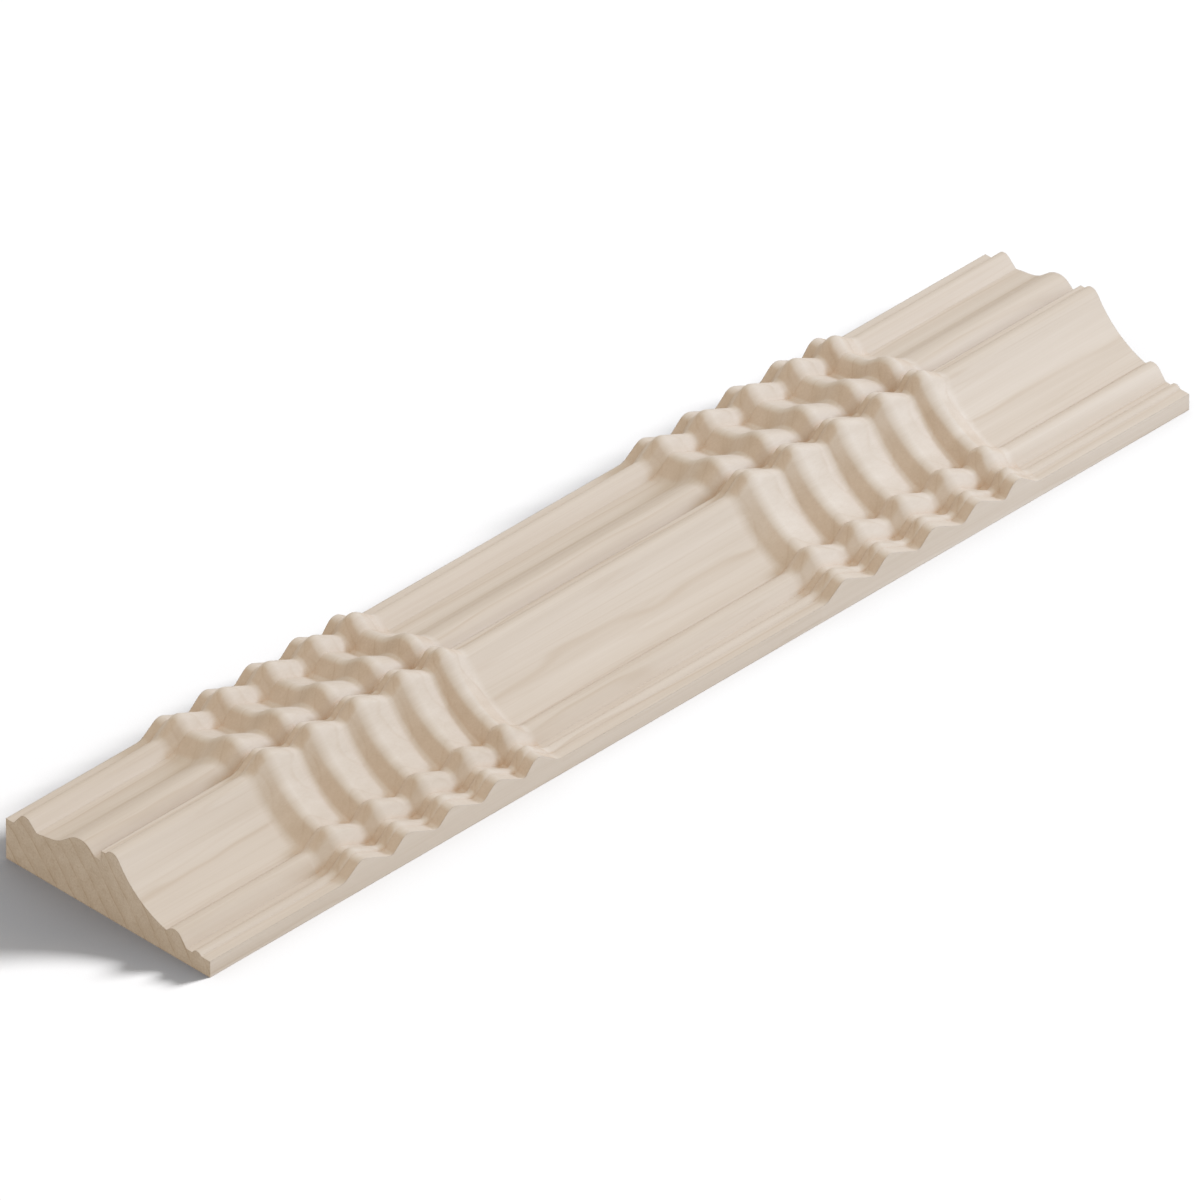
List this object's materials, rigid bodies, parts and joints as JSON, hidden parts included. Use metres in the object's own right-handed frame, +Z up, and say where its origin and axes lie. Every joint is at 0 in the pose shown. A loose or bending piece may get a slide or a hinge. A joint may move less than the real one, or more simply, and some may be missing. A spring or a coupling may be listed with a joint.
{
  "type": "ripple moulding",
  "caption": "Straight length of solid wood moulding with beads, a large cove and an ogee, whose section rises and falls in groups of cross ripples; lies on a flat back for framing or trim.",
  "frame": {"origin": "centre of the flat underside", "axes": "+X along the length towards the right end, +Y across the width from the low front edge to the higher back edge, +Z up out of the moulded face"},
  "size_m": [0.3, 0.0624, 0.0215],
  "materials": {
    "wood": "bare, finely scraped pale wood"
  },
  "bodies": {
    "root": {"moulding": "wood"}
  },
  "joints": []
}
